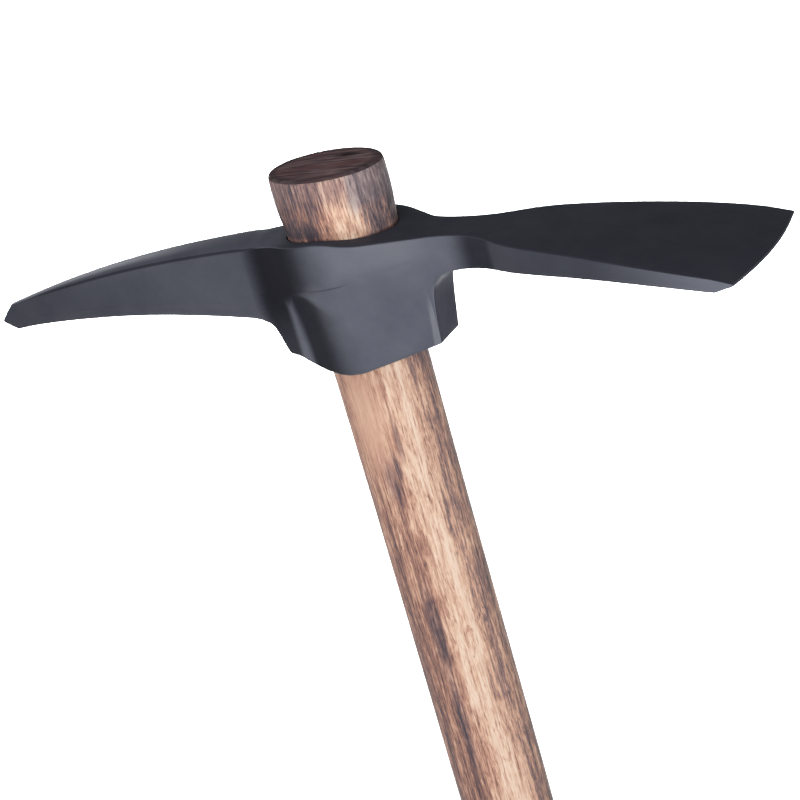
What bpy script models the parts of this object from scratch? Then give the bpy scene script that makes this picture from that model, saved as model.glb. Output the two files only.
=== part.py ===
"""Mattock with a slip-fit head: one forged steel head on one oval hardwood handle.

Units are metres and +Z is up. The origin is the centre of the handle's butt face. The handle stands
along +Z, the adze blade points to +X and the pick to -X. The head is dropped on from the butt end and
jams where the handle swells, so it can slide down the handle and off again.
"""

import bpy
import bmesh
import math

# Handle
HANDLE_LENGTH = 0.900
CAP_HEIGHT = 0.036          # swelled end that stands above the eye
CAP_OVERHANG = 0.0016       # how far the swelled end spreads past the eye on each side
CAP_ROUND = 0.0022          # worn rounding of its top rim
SHAFT_RELIEF = 0.0013       # shaft slimmer than the lower eye, each side, below the head
SHAFT_DROP = 0.260          # distance below the head where that is reached
GRIP_RELIEF = 0.0057        # the grip is slimmer still
GRIP_HEIGHT = 0.300         # height of the slimmest place above the butt
BUTT_RELIEF = 0.0045        # the butt swells a little, but less than the eye, so the head passes
BUTT_SWELL_HEIGHT = 0.030
BUTT_ROUND = 0.006
OVAL_SIDES = 48

# Eye: an oval hole that narrows towards the grip
EYE_TOP_LENGTH = 0.0644
EYE_TOP_WIDTH = 0.0454
EYE_FOOT_LENGTH = 0.0566
EYE_FOOT_WIDTH = 0.0396
EYE_FIT = 0.0003            # gap all round between the handle and the eye

# Collar around the eye
COLLAR_DEPTH = 0.0680       # from the rim down to the foot of its heel
LUG_DROP = 0.0080           # the cheeks reach this much lower
NOSE_RISE = 0.0013          # the foot of the nose is this much higher than the foot of the heel
CHEEK_WALL = 0.0075         # steel beside the widest part of the eye
NOSE_WALL = 0.0190          # steel between the eye and the collar's nose, under the pick
HEEL_WALL = 0.0182          # steel between the eye and the collar's flat heel, under the adze
END_WIDTH = 0.0260          # width of the nose and of the heel
NOSE_BOW = 0.0030           # how far the middle of the rounded nose stands out

# Pick
PICK_REACH = 0.2276         # from the handle's axis to the point
PICK_ROOT_WIDTH = 0.0304
PICK_ROOT_DEPTH = 0.0411
PICK_WAIST_WIDTH = 0.0166   # where the last taper to the point starts
PICK_TAPER = 0.0430         # length of that last taper
PICK_TIP_WIDTH = 0.0030
PICK_TIP_DEPTH = 0.0138
PICK_CURVE = 0.0242         # how far the back of the pick drops from the eye to the point
PICK_POINT = 0.0072         # length of the blunt point
PICK_POINT_EDGE = 0.0010    # height of its very end
PICK_ARCH = 0.0056          # hollow of its underside
PICK_SHOULDER = 0.0024      # its back below the rim of the eye
PICK_HAUNCH = 0.0140        # rounding under the pick where it meets the collar

# Adze
BLADE_REACH = 0.2420        # from the handle's axis to the middle of the cutting edge
BLADE_WIDTH = 0.0950
BLADE_BOW = 0.0060          # how far the middle of the cutting edge stands out past its corners
BLADE_DROP = 0.0248         # how far the blade curves down from the neck to the edge
BLADE_THICKNESS = 0.0084    # just behind the bevel
BEVEL_LENGTH = 0.0120       # ground on the underside
BEVEL_DROP = 0.0038         # the top goes on curving down over the bevel
EDGE_THICKNESS = 0.0010
NECK_WIDTH = 0.0274         # narrowest place, between the eye and the blade
NECK_DEPTH = 0.0211
NECK_REACH = 0.0680         # its distance from the handle's axis
HEEL_FILLET = 0.0100        # rounding under the neck where it meets the collar

EDGE_ROUND = 0.0015         # forged rounding of the long edges
NECK_SHOULDER = 0.0059      # top of the neck below the rim
RIM_WAVE = 0.0020           # dips of the rim round the eye

# Heights worked out from the sizes above
RIM_Z = HANDLE_LENGTH - CAP_HEIGHT
COLLAR_FOOT_Z = RIM_Z - COLLAR_DEPTH
LUG_FOOT_Z = COLLAR_FOOT_Z - LUG_DROP
NOSE_X = -EYE_FOOT_LENGTH / 2 - NOSE_WALL
HEEL_X = EYE_FOOT_LENGTH / 2 + HEEL_WALL
CHEEK_HALF = EYE_TOP_WIDTH / 2 + CHEEK_WALL


def clear_scene():
    for old in list(bpy.data.objects):
        bpy.data.objects.remove(old, do_unlink=True)


def material(name, colour, roughness, metallic):
    made = bpy.data.materials.new(name)
    made.use_nodes = True
    made.diffuse_color = (*colour, 1.0)
    shader = made.node_tree.nodes["Principled BSDF"]
    shader.inputs["Base Color"].default_value = (*colour, 1.0)
    shader.inputs["Roughness"].default_value = roughness
    shader.inputs["Metallic"].default_value = metallic
    return made


def smooth_object(bm, name, surface, crease_angle=math.radians(40)):
    mesh = bpy.data.meshes.new(name)
    bmesh.ops.recalc_face_normals(bm, faces=bm.faces)
    bm.to_mesh(mesh)
    bm.free()
    made = bpy.data.objects.new(name, mesh)
    bpy.context.collection.objects.link(made)
    mesh.materials.append(surface)
    mesh.shade_smooth()
    mesh.set_sharp_from_angle(angle=crease_angle)
    return made


def add_ring(bm, points):
    verts = [bm.verts.new(p) for p in points]
    edges = [bm.edges.new((a, b)) for a, b in zip(verts, verts[1:] + verts[:1])]
    return verts, edges


def bridge(bm, rings):
    for lower, upper in zip(rings, rings[1:]):
        bmesh.ops.bridge_loops(bm, edges=lower[1] + upper[1])


def mix(a, b, t):
    return a + (b - a) * t


def ease(t):
    t = min(max(t, 0.0), 1.0)
    return t * t * (3 - 2 * t)


# Oval sections of the eye and the handle

def eye_half_sizes(z):
    """Half length and half width of the eye at height z; the taper runs on past both its ends."""
    t = (RIM_Z - z) / (COLLAR_DEPTH + LUG_DROP)
    return (mix(EYE_TOP_LENGTH, EYE_FOOT_LENGTH, t) / 2,
            mix(EYE_TOP_WIDTH, EYE_FOOT_WIDTH, t) / 2)


def oval(half_length, half_width, z):
    turns = [2 * math.pi * i / OVAL_SIDES for i in range(OVAL_SIDES)]
    return [(half_length * math.cos(a), half_width * math.sin(a), z) for a in turns]


def handle_half_sizes(z):
    """The handle fills the eye, swells above it and slims below it."""
    foot_length, foot_width = eye_half_sizes(LUG_FOOT_Z)
    shaft_z = LUG_FOOT_Z - SHAFT_DROP
    if z >= LUG_FOOT_Z:
        half_length, half_width = eye_half_sizes(min(z, RIM_Z + EDGE_ROUND))
        spread = CAP_OVERHANG * ease((z - RIM_Z - EDGE_ROUND) / (CAP_HEIGHT / 2))
        return half_length - EYE_FIT + spread, half_width - EYE_FIT + spread
    if z >= shaft_z:
        relief = mix(EYE_FIT, SHAFT_RELIEF, (LUG_FOOT_Z - z) / SHAFT_DROP)
    elif z >= GRIP_HEIGHT:
        relief = mix(SHAFT_RELIEF, GRIP_RELIEF, ease((shaft_z - z) / (shaft_z - GRIP_HEIGHT)))
    else:
        fall = (GRIP_HEIGHT - z) / (GRIP_HEIGHT - BUTT_SWELL_HEIGHT)
        relief = mix(GRIP_RELIEF, BUTT_RELIEF, ease(fall))
    return foot_length - relief, foot_width - relief


def handle_heights():
    """Ring heights from the butt to the top, close together where the outline turns."""
    arc = [math.radians(a) for a in (0, 30, 60, 90)]
    low = [(BUTT_ROUND * (1 - math.sin(a)), BUTT_ROUND * (1 - math.cos(a))) for a in arc[::-1]]
    high = [(HANDLE_LENGTH - CAP_ROUND * (1 - math.sin(a)), CAP_ROUND * (1 - math.cos(a))) for a in arc]
    shaft_z = LUG_FOOT_Z - SHAFT_DROP
    rows = [BUTT_SWELL_HEIGHT * 0.6, BUTT_SWELL_HEIGHT]
    rows += [mix(BUTT_SWELL_HEIGHT, GRIP_HEIGHT, i / 5) for i in range(1, 6)]
    rows += [mix(GRIP_HEIGHT, shaft_z, i / 4) for i in range(1, 5)]
    rows += [mix(shaft_z, LUG_FOOT_Z, i / 3) for i in range(1, 4)]
    rows += [RIM_Z + EDGE_ROUND]
    rows += [RIM_Z + EDGE_ROUND + CAP_HEIGHT * i / 8 for i in range(1, 5)]
    return low + [(z, 0.0) for z in rows] + high


def make_handle(surface):
    bm = bmesh.new()
    rings = []
    for z, inset in handle_heights():
        half_length, half_width = handle_half_sizes(z)
        rings.append(add_ring(bm, oval(half_length - inset, half_width - inset, z)))
    bridge(bm, rings)
    bm.faces.new(rings[0][0][::-1])
    bm.faces.new(rings[-1][0])
    return smooth_object(bm, "handle", surface)


# Head: sections across X, joined from the pick's point to the cutting edge

def section(x, top, foot, widths, mid=None, low=None, edge=EDGE_ROUND, foot_edge=EDGE_ROUND, bow=0.0):
    """Eighteen points round one section. Heights are below the rim, widths are half widths at four
    levels: top, middle, low and foot. The bow moves the middle of the section along X."""
    at_top, at_mid, at_low, at_foot = widths
    mid = mix(top, foot, 0.35) if mid is None else mid
    low = mix(top, foot, 0.72) if low is None else low
    side = [(0.0, top), (at_top * 0.5, top), (at_top - edge, top), (at_top, top - edge),
            (at_mid, mid), (at_low, low),
            (at_foot, foot + foot_edge), (at_foot - foot_edge, foot), (at_foot * 0.5, foot), (0.0, foot)]
    widest = max(widths)
    near = [(x + bow * (1 - (y / widest) ** 2), y, RIM_Z + z) for y, z in side]
    far = [(px, -y, z) for px, y, z in near[-2:0:-1]]
    return near + far


def pick_sections():
    """From the blunt point back to where the pick meets the collar. Its width tapers gently as far as
    the waist and faster from there to the point."""
    root_x = PICK_HAUNCH - NOSE_X
    shoulder_x = PICK_REACH - PICK_POINT
    waist_x = shoulder_x - PICK_TAPER
    tip_top = -PICK_SHOULDER - PICK_CURVE
    tip_foot = tip_top - PICK_TIP_DEPTH
    root_foot = -PICK_SHOULDER - PICK_ROOT_DEPTH
    apex = mix(tip_top, tip_foot, 0.66)
    half = PICK_POINT_EDGE / 2
    rows = [section(-PICK_REACH, apex + half, apex - half, [half] * 4,
                    edge=half * 0.4, foot_edge=half * 0.4)]
    for t in (1.0, 0.96, 0.87, 0.735, 0.50, 0.26, 0.0):
        x = mix(root_x, shoulder_x, t)
        top = mix(-PICK_SHOULDER, tip_top, t ** 1.7)
        foot = mix(root_foot, tip_foot, t) + PICK_ARCH * math.sin(math.pi * t ** 1.15)
        if x < waist_x:
            half = mix(PICK_ROOT_WIDTH, PICK_WAIST_WIDTH, (x - root_x) / (waist_x - root_x)) / 2
        else:
            half = mix(PICK_WAIST_WIDTH, PICK_TIP_WIDTH, ((x - waist_x) / PICK_TAPER) ** 0.8) / 2
        edge = min(EDGE_ROUND * 0.8, half * 0.3)
        rows.append(section(-x, top, foot, (half, half * 1.02, half, half * 0.84),
                            low=mix(top, foot, 0.82), edge=edge, foot_edge=edge))
    return rows


def collar_sections():
    """Through the eye. The first rows turn down round the haunch into the collar's rounded nose, the
    last ones turn up into the neck of the adze."""
    half_end = END_WIDTH / 2
    arm_foot = -PICK_SHOULDER - PICK_ROOT_DEPTH
    root = PICK_ROOT_WIDTH / 2
    deep = -COLLAR_DEPTH
    back = -PICK_SHOULDER
    trim = -COLLAR_DEPTH * 0.36
    waist = -COLLAR_DEPTH * 0.64
    rows = []
    rows.append(section(NOSE_X - PICK_HAUNCH * 0.55, back, arm_foot - PICK_HAUNCH * 0.22,
                        (root, root, root, root * 0.84)))
    rows.append(section(NOSE_X - PICK_HAUNCH * 0.20, back, arm_foot - PICK_HAUNCH * 0.72,
                        (root * 1.01, root, root * 0.93, root * 0.74), bow=-NOSE_BOW * 0.6))
    rows.append(section(NOSE_X, -RIM_WAVE * 0.9, deep + NOSE_RISE,
                        (half_end * 1.2, half_end * 1.17, half_end * 1.06, half_end * 0.82),
                        mid=trim, low=waist, bow=-NOSE_BOW))
    # Distance along from the axis, shares of the way from an end to a cheek at four levels, dip of the rim
    plan = (
        (-0.90, 0.21, 0.16, 0.07, 0.0, 0.7),
        (-0.75, 0.34, 0.25, 0.20, 0.21, 0.4),
        (-0.60, 0.56, 0.41, 0.09, 0.11, 0.1),
        (-0.38, 0.83, 0.72, 0.38, 0.46, -0.1),
        (-0.14, 0.99, 0.95, 0.80, 0.82, -0.4),
        (0.06, 1.06, 1.01, 0.89, 0.88, -0.3),
        (0.32, 1.06, 0.97, 0.73, 0.67, 0.0),
        (0.58, 0.88, 0.80, 0.51, 0.45, 0.6),
        (0.80, 0.55, 0.49, 0.31, 0.25, 1.6),
        (0.94, 0.33, 0.30, 0.11, 0.06, 2.2),
    )
    for along, *shares, dip in plan:
        x = along * (HEEL_X if along > 0 else -NOSE_X)
        widths = [mix(half_end, CHEEK_HALF, share) for share in shares]
        end_foot = deep if along > 0 else deep + NOSE_RISE
        lug = 1 - (along / 0.90 if along > 0 else (-along / 0.95) ** 1.6)
        foot = mix(end_foot, deep - LUG_DROP, max(lug, 0.0))
        rows.append(section(x, -RIM_WAVE * dip, foot, widths, mid=trim, low=waist))
    neck_half = NECK_WIDTH / 2
    neck_foot = -NECK_SHOULDER - NECK_DEPTH
    rows.append(section(HEEL_X, -NECK_SHOULDER * 0.81, deep,
                        (half_end * 1.35, half_end * 1.31, half_end * 0.96, half_end * 0.91),
                        mid=trim, low=waist))
    rows.append(section(HEEL_X + HEEL_FILLET * 0.30, -NECK_SHOULDER * 0.84, neck_foot - HEEL_FILLET * 0.95,
                        (half_end * 1.28, half_end * 1.24, half_end * 1.08, half_end * 0.97)))
    rows.append(section(HEEL_X + HEEL_FILLET, -NECK_SHOULDER * 0.93, neck_foot - HEEL_FILLET * 0.22,
                        (half_end * 1.14, half_end * 1.13, half_end * 1.08, half_end * 1.01)))
    rows.append(section(NECK_REACH, -NECK_SHOULDER, neck_foot,
                        (neck_half, neck_half, neck_half * 0.98, neck_half * 0.92)))
    return rows


def adze_sections():
    """From the neck out to the cutting edge, curving down and spreading."""
    corner_x = BLADE_REACH - BLADE_BOW
    bevel_x = corner_x - BEVEL_LENGTH
    neck_top = -NECK_SHOULDER
    rows = []
    # Share of the length and share of the spread from the neck's width to the blade's
    flare = ((0.07, 0.04), (0.135, 0.14), (0.20, 0.33), (0.29, 0.49), (0.48, 0.67), (0.72, 0.885),
             (0.90, 0.98), (1.0, 0.99))
    for t, share in flare:
        x = mix(NECK_REACH, bevel_x, t)
        top = mix(neck_top, neck_top - BLADE_DROP, t ** 1.36)
        thick = mix(NECK_DEPTH, BLADE_THICKNESS, t ** 0.75)
        half = mix(NECK_WIDTH, BLADE_WIDTH, share) / 2
        edge = min(EDGE_ROUND, thick * 0.2)
        bow = BLADE_BOW * t ** 2
        rows.append(section(x, top, top - thick, (half, half, half * 0.995, half * 0.985),
                            edge=edge, foot_edge=edge, bow=bow))
    half = BLADE_WIDTH / 2
    for t in (0.12, 0.88, 1.0):
        top = neck_top - BLADE_DROP - BEVEL_DROP * t
        thick = mix(BLADE_THICKNESS, EDGE_THICKNESS, t)
        edge = min(EDGE_ROUND, thick * 0.2)
        rows.append(section(mix(bevel_x, corner_x, t), top, top - thick,
                            [half * mix(0.985, 1.0, t)] * 4, edge=edge, foot_edge=edge, bow=BLADE_BOW))
    return rows


def close_end(bm, ring):
    """Closes a section with a strip of quads between its upper and its lower points."""
    verts = ring[0]
    half = len(verts) // 2
    for i in range(half // 2):
        upper, lower = i, half - i
        bm.faces.new([verts[upper], verts[upper + 1], verts[lower - 1], verts[lower]])
        bm.faces.new([verts[-upper], verts[-upper - 1], verts[half + i + 1], verts[half + i]])


def eye_cutter():
    """The tapered oval that cuts the eye, from above the rim to below the lugs."""
    bm = bmesh.new()
    run_out = 0.010
    rings = []
    for z in (LUG_FOOT_Z - run_out, LUG_FOOT_Z, RIM_Z + EDGE_ROUND, RIM_Z + run_out):
        half_length, half_width = eye_half_sizes(z)
        rings.append(add_ring(bm, oval(half_length, half_width, z)))
    bridge(bm, rings)
    bm.faces.new(rings[0][0][::-1])
    bm.faces.new(rings[-1][0])
    bmesh.ops.recalc_face_normals(bm, faces=bm.faces)
    mesh = bpy.data.meshes.new("eye_cutter")
    bm.to_mesh(mesh)
    bm.free()
    cutter = bpy.data.objects.new("eye_cutter", mesh)
    bpy.context.collection.objects.link(cutter)
    cutter.hide_render = True
    cutter.display_type = "WIRE"
    return cutter


def make_head(surface):
    bm = bmesh.new()
    rings = [add_ring(bm, points) for points in pick_sections() + collar_sections() + adze_sections()]
    bridge(bm, rings)
    close_end(bm, rings[0])
    close_end(bm, rings[-1])
    head = smooth_object(bm, "head", surface, crease_angle=math.radians(35))
    rounded = head.modifiers.new("forged rounding", "SUBSURF")
    rounded.levels = 1
    rounded.render_levels = 1
    hole = head.modifiers.new("eye", "BOOLEAN")
    hole.operation = "DIFFERENCE"
    hole.solver = "EXACT"
    hole.object = eye_cutter()
    return head


def main():
    clear_scene()
    coated_steel = material("black coated steel", (0.030, 0.031, 0.036), 0.45, 0.4)
    torched_ash = material("torched ash", (0.36, 0.20, 0.12), 0.55, 0.0)
    make_handle(torched_ash)
    make_head(coated_steel)


main()
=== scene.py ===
# %% [markdown]
# # A mattock: a forged head on a torched ash handle
#
# The tool has two pieces. The head is one forging: a pick, a deep collar with an oval eye, and an adze
# with a broad blade. The handle is one length of ash. It is dropped through the eye from above and its
# swelled end stops it, so nothing else holds the two together.
#
# The measured model comes first. It gives every size, and the new pieces take its place exactly.

# %% Load the measured model
import math

import bmesh
import bpy
from mathutils import Matrix, Vector


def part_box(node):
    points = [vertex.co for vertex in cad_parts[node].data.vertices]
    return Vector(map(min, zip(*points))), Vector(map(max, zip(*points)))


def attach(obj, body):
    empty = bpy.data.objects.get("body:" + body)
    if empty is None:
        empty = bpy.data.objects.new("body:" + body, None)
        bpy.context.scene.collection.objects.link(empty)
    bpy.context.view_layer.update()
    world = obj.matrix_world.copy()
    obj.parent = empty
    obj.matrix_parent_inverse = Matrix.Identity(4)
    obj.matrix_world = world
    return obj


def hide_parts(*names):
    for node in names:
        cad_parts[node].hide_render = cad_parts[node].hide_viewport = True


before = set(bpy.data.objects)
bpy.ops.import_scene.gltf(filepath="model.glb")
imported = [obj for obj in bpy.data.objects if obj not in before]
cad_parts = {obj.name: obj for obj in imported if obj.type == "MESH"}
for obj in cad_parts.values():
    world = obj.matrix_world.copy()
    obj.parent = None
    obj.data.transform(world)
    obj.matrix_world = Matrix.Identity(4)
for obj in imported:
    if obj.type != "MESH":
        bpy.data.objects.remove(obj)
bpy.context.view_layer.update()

# %% [markdown]
# ## Working heights
#
# The rim is the top of the collar, where the swelled end of the handle comes out. All heights of the head
# are counted from it, in millimetres, downwards negative, because that is how a smith would measure it.

# %% Heights and helpers for editing
MM = 0.001
CAP = 36 * MM  # how far the swelled end of the handle stands above the rim
HANDLE_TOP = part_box("handle")[1][2]
RIM = HANDLE_TOP - CAP
print("rim at", round(RIM, 4))


def only(thing):
    """Deselects everything, then selects and activates one object."""
    if bpy.context.object and bpy.context.object.mode != "OBJECT":
        bpy.ops.object.mode_set(mode="OBJECT")
    bpy.ops.object.select_all(action="DESELECT")
    thing.select_set(True)
    bpy.context.view_layer.objects.active = thing


def edit(thing, element="VERT"):
    """Opens one object in edit mode with nothing selected."""
    only(thing)
    bpy.ops.object.mode_set(mode="EDIT")
    bpy.ops.mesh.select_mode(type=element)
    bpy.ops.mesh.select_all(action="DESELECT")


def choose(thing, elements, test):
    """In edit mode, selects the vertices, edges or faces that pass a test. Returns how many did."""
    bm = bmesh.from_edit_mesh(thing.data)
    bpy.ops.mesh.select_all(action="DESELECT")
    found = [e for e in getattr(bm, elements) if test(e)]
    for e in found:
        e.select_set(True)
    bm.select_flush(True)
    bmesh.update_edit_mesh(thing.data)
    return len(found)


# %% [markdown]
# ## The camera
#
# The photograph is taken from the front right, a little above the head, with the tool leaning to the left.
# The tool stands upright here, so the camera is rolled instead. Distance and lens were found by matching
# the oval of the handle's end, the collar and both arms to the picture.

# %% Camera
LOOK_AT = Vector((0.0046, 0.0, 0.7605))
AZIMUTH, ELEVATION, ROLL = math.radians(30), math.radians(20.5), math.radians(16)
DISTANCE = 2.4
PIXELS_PER_MM = 1.85
PICTURE = 800  # width of the picture, in pixels
SENSOR = 36  # width of the film, in millimetres

away = Vector((math.sin(AZIMUTH) * math.cos(ELEVATION), -math.cos(AZIMUTH) * math.cos(ELEVATION),
               math.sin(ELEVATION)))
sideways = Vector((math.cos(AZIMUTH), math.sin(AZIMUTH), 0))
upright = away.cross(sideways)
right = math.cos(ROLL) * sideways - math.sin(ROLL) * upright
up = math.sin(ROLL) * sideways + math.cos(ROLL) * upright
bpy.ops.object.camera_add()
camera = bpy.context.object
camera.name = "camera"
turned = Matrix((right, up, away)).transposed().to_4x4()
camera.matrix_world = Matrix.Translation(LOOK_AT + away * DISTANCE) @ turned
camera.data.sensor_width = SENSOR
camera.data.lens = PIXELS_PER_MM * DISTANCE / MM * SENSOR / PICTURE
camera.data.clip_end = 100
bpy.context.scene.camera = camera
print("lens", round(camera.data.lens, 1), "mm")

# %% [markdown]
# ## The head, station by station
#
# A forged head has no straight lines, but it has clear sections. Each row below is one section across the
# head, from the point of the pick to the cutting edge: its distance from the handle's axis, how far its
# middle bows along, its four heights (top, trim line, waist, foot), its four half widths at those heights,
# how much its top and its foot edges are eased, and how deep the step under the trim line is. A ring with
# 20 corners is extruded from one station to the next and its corners are moved level by level. This is how
# one would draw out the cage by hand, and Subdivision Surface then gives the flowing surface that a hammer
# and a die leave. The top rises in a small wave, about 2 mm high, beside the eye.

# %% Stations of the head, in millimetres
STATIONS = [
    # along, bow, (top, trim, waist, foot), (half widths), (top ease, foot ease, step)
    (-227.3, 0, (-35.3, -35.7, -36.3, -36.9), (0.7, 0.8, 0.8, 0.6), (0.3, 0.3, 0)),
    (-218.4, 0, (-26.3, -31.0, -36.8, -41.3), (2.1, 2.3, 2.4, 1.8), (0.5, 0.5, 0)),
    (-211.5, 0, (-24.4, -29.5, -35.6, -40.4), (2.9, 3.1, 3.2, 2.5), (0.6, 0.6, 0)),
    (-201.2, 0, (-21.8, -27.2, -34.0, -39.1), (4.5, 4.6, 4.8, 3.9), (0.9, 0.8, 0)),
    (-179.4, 0, (-16.6, -23.0, -31.3, -37.4), (8.2, 8.4, 8.6, 6.9), (1.3, 0.9, 0)),
    (-141.6, 0, (-9.4, -18.6, -29.4, -36.8), (10.9, 11.1, 11.3, 9.0), (1.6, 1.0, 0)),
    (-103.0, 0, (-4.7, -16.6, -30.2, -39.2), (13.2, 13.4, 13.6, 10.9), (1.6, 1.1, 0)),
    (-66.0, 0, (-2.2, -17.2, -32.4, -43.4), (15.0, 15.2, 15.4, 12.6), (1.6, 1.2, 0)),
    (-59.0, 0, (-2.1, -18.0, -33.6, -44.9), (15.2, 15.3, 15.3, 12.6), (1.5, 1.4, 0)),
    (-54.8, 0, (-2.3, -19.2, -35.8, -47.6), (15.2, 15.3, 15.0, 12.2), (1.4, 1.5, 0)),
    (-50.6, -1.0, (-2.1, -21.2, -39.4, -50.4), (15.3, 15.2, 14.3, 11.2), (1.2, 1.5, 0)),
    (-46.1, -2.2, (-1.7, -23.4, -43.5, -66.4), (15.8, 15.2, 13.8, 10.8), (1.3, 0.9, 0)),
    (-42.4, 0, (-1.4, -24.2, -43.5, -67.4), (16.6, 15.8, 14.2, 12.6), (1.4, 1.2, 0)),
    (-38.2, 0, (-1.1, -24.7, -43.5, -68.2), (17.8, 16.4, 14.9, 14.4), (1.5, 1.2, 0)),
    (-34.2, 0, (-0.8, -24.9, -43.5, -69.8), (19.6, 17.4, 16.8, 16.5), (1.5, 1.2, 0)),
    (-31.0, 0, (-0.5, -24.9, -43.5, -71.4), (21.5, 18.7, 15.4, 17.2), (1.5, 1.3, 0.2)),
    (-27.2, 0, (-0.2, -24.5, -43.5, -73.0), (23.5, 20.7, 14.6, 18.6), (1.5, 1.4, 0.5)),
    (-22.5, 0, (0.3, -24.0, -43.5, -74.6), (25.7, 23.2, 16.5, 20.6), (1.5, 1.5, 0.9)),
    (-17.0, 0, (0.8, -23.5, -43.5, -75.3), (27.8, 26.0, 20.6, 23.2), (1.5, 1.5, 1.1)),
    (-11.5, 0, (1.5, -22.7, -43.5, -75.8), (29.2, 28.3, 24.7, 25.8), (1.5, 1.5, 1.0)),
    (-5.5, 0, (2.3, -21.8, -43.5, -76.0), (30.2, 29.6, 27.3, 27.6), (1.5, 1.5, 0.9)),
    (2.7, 0, (2.2, -20.3, -43.5, -75.5), (31.2, 30.4, 28.3, 28.2), (1.5, 1.5, 0.8)),
    (14.4, 0, (-0.4, -18.6, -43.5, -73.4), (31.3, 29.8, 25.6, 24.6), (1.5, 1.5, 0.7)),
    (26.2, 0, (-1.3, -17.2, -43.5, -71.3), (28.6, 27.0, 22.0, 20.9), (1.5, 1.5, 0.6)),
    (36.1, 0, (-3.0, -16.3, -42.0, -69.4), (23.0, 22.0, 18.4, 17.4), (1.5, 1.4, 0.5)),
    (43.0, 0, (-4.2, -15.9, -38.2, -68.3), (19.1, 18.4, 15.2, 14.4), (1.4, 1.2, 0.4)),
    (45.6, 0, (-4.7, -15.8, -35.0, -67.9), (17.6, 17.1, 14.2, 11.9), (1.4, 0.7, 0.3)),
    (49.7, 0, (-5.0, -15.8, -30.4, -36.2), (16.2, 15.9, 14.8, 14.2), (1.4, 0.9, 0.2)),
    (54.2, 0, (-5.2, -15.7, -25.8, -31.0), (15.1, 15.0, 14.2, 12.9), (1.3, 1.5, 0.1)),
    (58.4, 0, (-5.4, -15.4, -23.3, -28.5), (14.4, 14.4, 14.0, 13.1), (1.2, 1.4, 0)),
    (68.0, 0, (-5.9, -14.2, -21.2, -27.0), (13.7, 13.7, 13.3, 12.6), (1.1, 1.2, 0)),
    (78.9, 0.1, (-6.8, -13.8, -20.6, -26.4), (15.0, 15.0, 15.0, 14.7), (1.0, 1.0, 0)),
    (89.1, 0.2, (-7.8, -14.1, -20.6, -26.3), (18.5, 18.5, 18.4, 18.2), (0.9, 1.0, 0)),
    (99.2, 0.3, (-9.1, -14.8, -21.0, -26.2), (24.8, 24.8, 24.7, 24.4), (0.9, 1.0, 0)),
    (113.2, 0.5, (-10.7, -16.3, -22.0, -26.7), (30.3, 30.3, 30.1, 29.8), (0.8, 0.9, 0)),
    (142.9, 1.4, (-14.7, -19.8, -24.6, -28.5), (36.4, 36.4, 36.2, 35.9), (0.8, 0.9, 0)),
    (180.3, 3.1, (-21.3, -25.4, -29.4, -32.4), (43.6, 43.6, 43.3, 42.9), (0.7, 0.8, 0)),
    (208.4, 4.9, (-26.9, -30.3, -33.8, -36.7), (46.8, 46.8, 46.5, 46.1), (0.7, 0.8, 0)),
    (222.2, 6.0, (-30.1, -33.0, -36.2, -38.9), (47.2, 47.2, 47.0, 46.8), (0.7, 0.6, 0)),
    (224.4, 6.0, (-30.7, -33.4, -36.5, -39.1), (47.2, 47.2, 47.1, 46.9), (0.7, 0.5, 0)),
    (226.0, 6.0, (-31.2, -33.7, -36.4, -38.7), (47.3, 47.3, 47.2, 47.1), (0.7, 0.5, 0)),
    (234.8, 6.0, (-34.2, -34.9, -35.7, -36.3), (47.4, 47.4, 47.4, 47.4), (0.3, 0.3, 0)),
    (236.0, 6.0, (-34.7, -35.1, -35.6, -35.9), (47.5, 47.5, 47.5, 47.5), (0.2, 0.2, 0)),
]
LEVELS = 11
TRIM, UNDER_TRIM, WAIST, FOOT_EDGE = 4, 5, 6, {7, 8}  # levels with a name, counted from 0 at the top
STEP_AT = 0.12  # the step under the trim line lies this share of the way down to the waist
CROWN = 0.09  # how far the pick is domed across its top, as a share of its half width
CROWN_HALFWAY = 0.7  # how much of that is left halfway out
PICK_ENDS = -45  # only the pick is domed
print(len(STATIONS), "stations, from", STATIONS[0][0], "to", STATIONS[-1][0] + STATIONS[-1][1], "mm")


def corners(station):
    """The corners down one half of a section, from the middle of the top to the middle of the foot, as
    (half width, height)."""
    heights, halves, (top_ease, foot_ease, step) = station[2:]
    top, trim, waist, foot = heights
    at_top, at_trim, at_waist, at_foot = halves
    crown = CROWN * at_top if station[0] < PICK_ENDS else 0
    return [
        (0, top + crown), (at_top * 0.5, top + crown * CROWN_HALFWAY),
        (at_top - top_ease, top), (at_top, top - top_ease),
        (at_trim, trim),
        (at_trim * (1 - STEP_AT) + at_waist * STEP_AT - step, trim * (1 - STEP_AT) + waist * STEP_AT),
        (at_waist, waist),
        (at_foot, foot + foot_ease), (at_foot - foot_ease, foot),
        (at_foot * 0.5, foot), (0, foot),
    ]


def bows(station):
    """How far each level of a station bows along the head, in millimetres: most in the middle."""
    halves = [half for half, _ in corners(station)]
    return [station[1] * (1 - (half / max(halves)) ** 2) for half in halves]


# %% [markdown]
# The first ring is a circle of 20 corners, turned to face along the pick. Each corner gets a number, its
# level, from 0 in the middle of the top to 10 in the middle of the foot, and the two halves get the same
# numbers. Extruding copies the numbers, so any level of the newest ring can be picked up and moved.

# %% The first ring
def new_ring(name, count, radius, fill, **stance):
    """A ring of corners with this name, its place and turn applied."""
    bpy.ops.mesh.primitive_circle_add(vertices=count, radius=radius, fill_type=fill, **stance)
    made = bpy.context.object
    made.name = made.data.name = name
    bpy.ops.object.transform_apply(location=True, rotation=True, scale=True)
    return made


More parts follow.
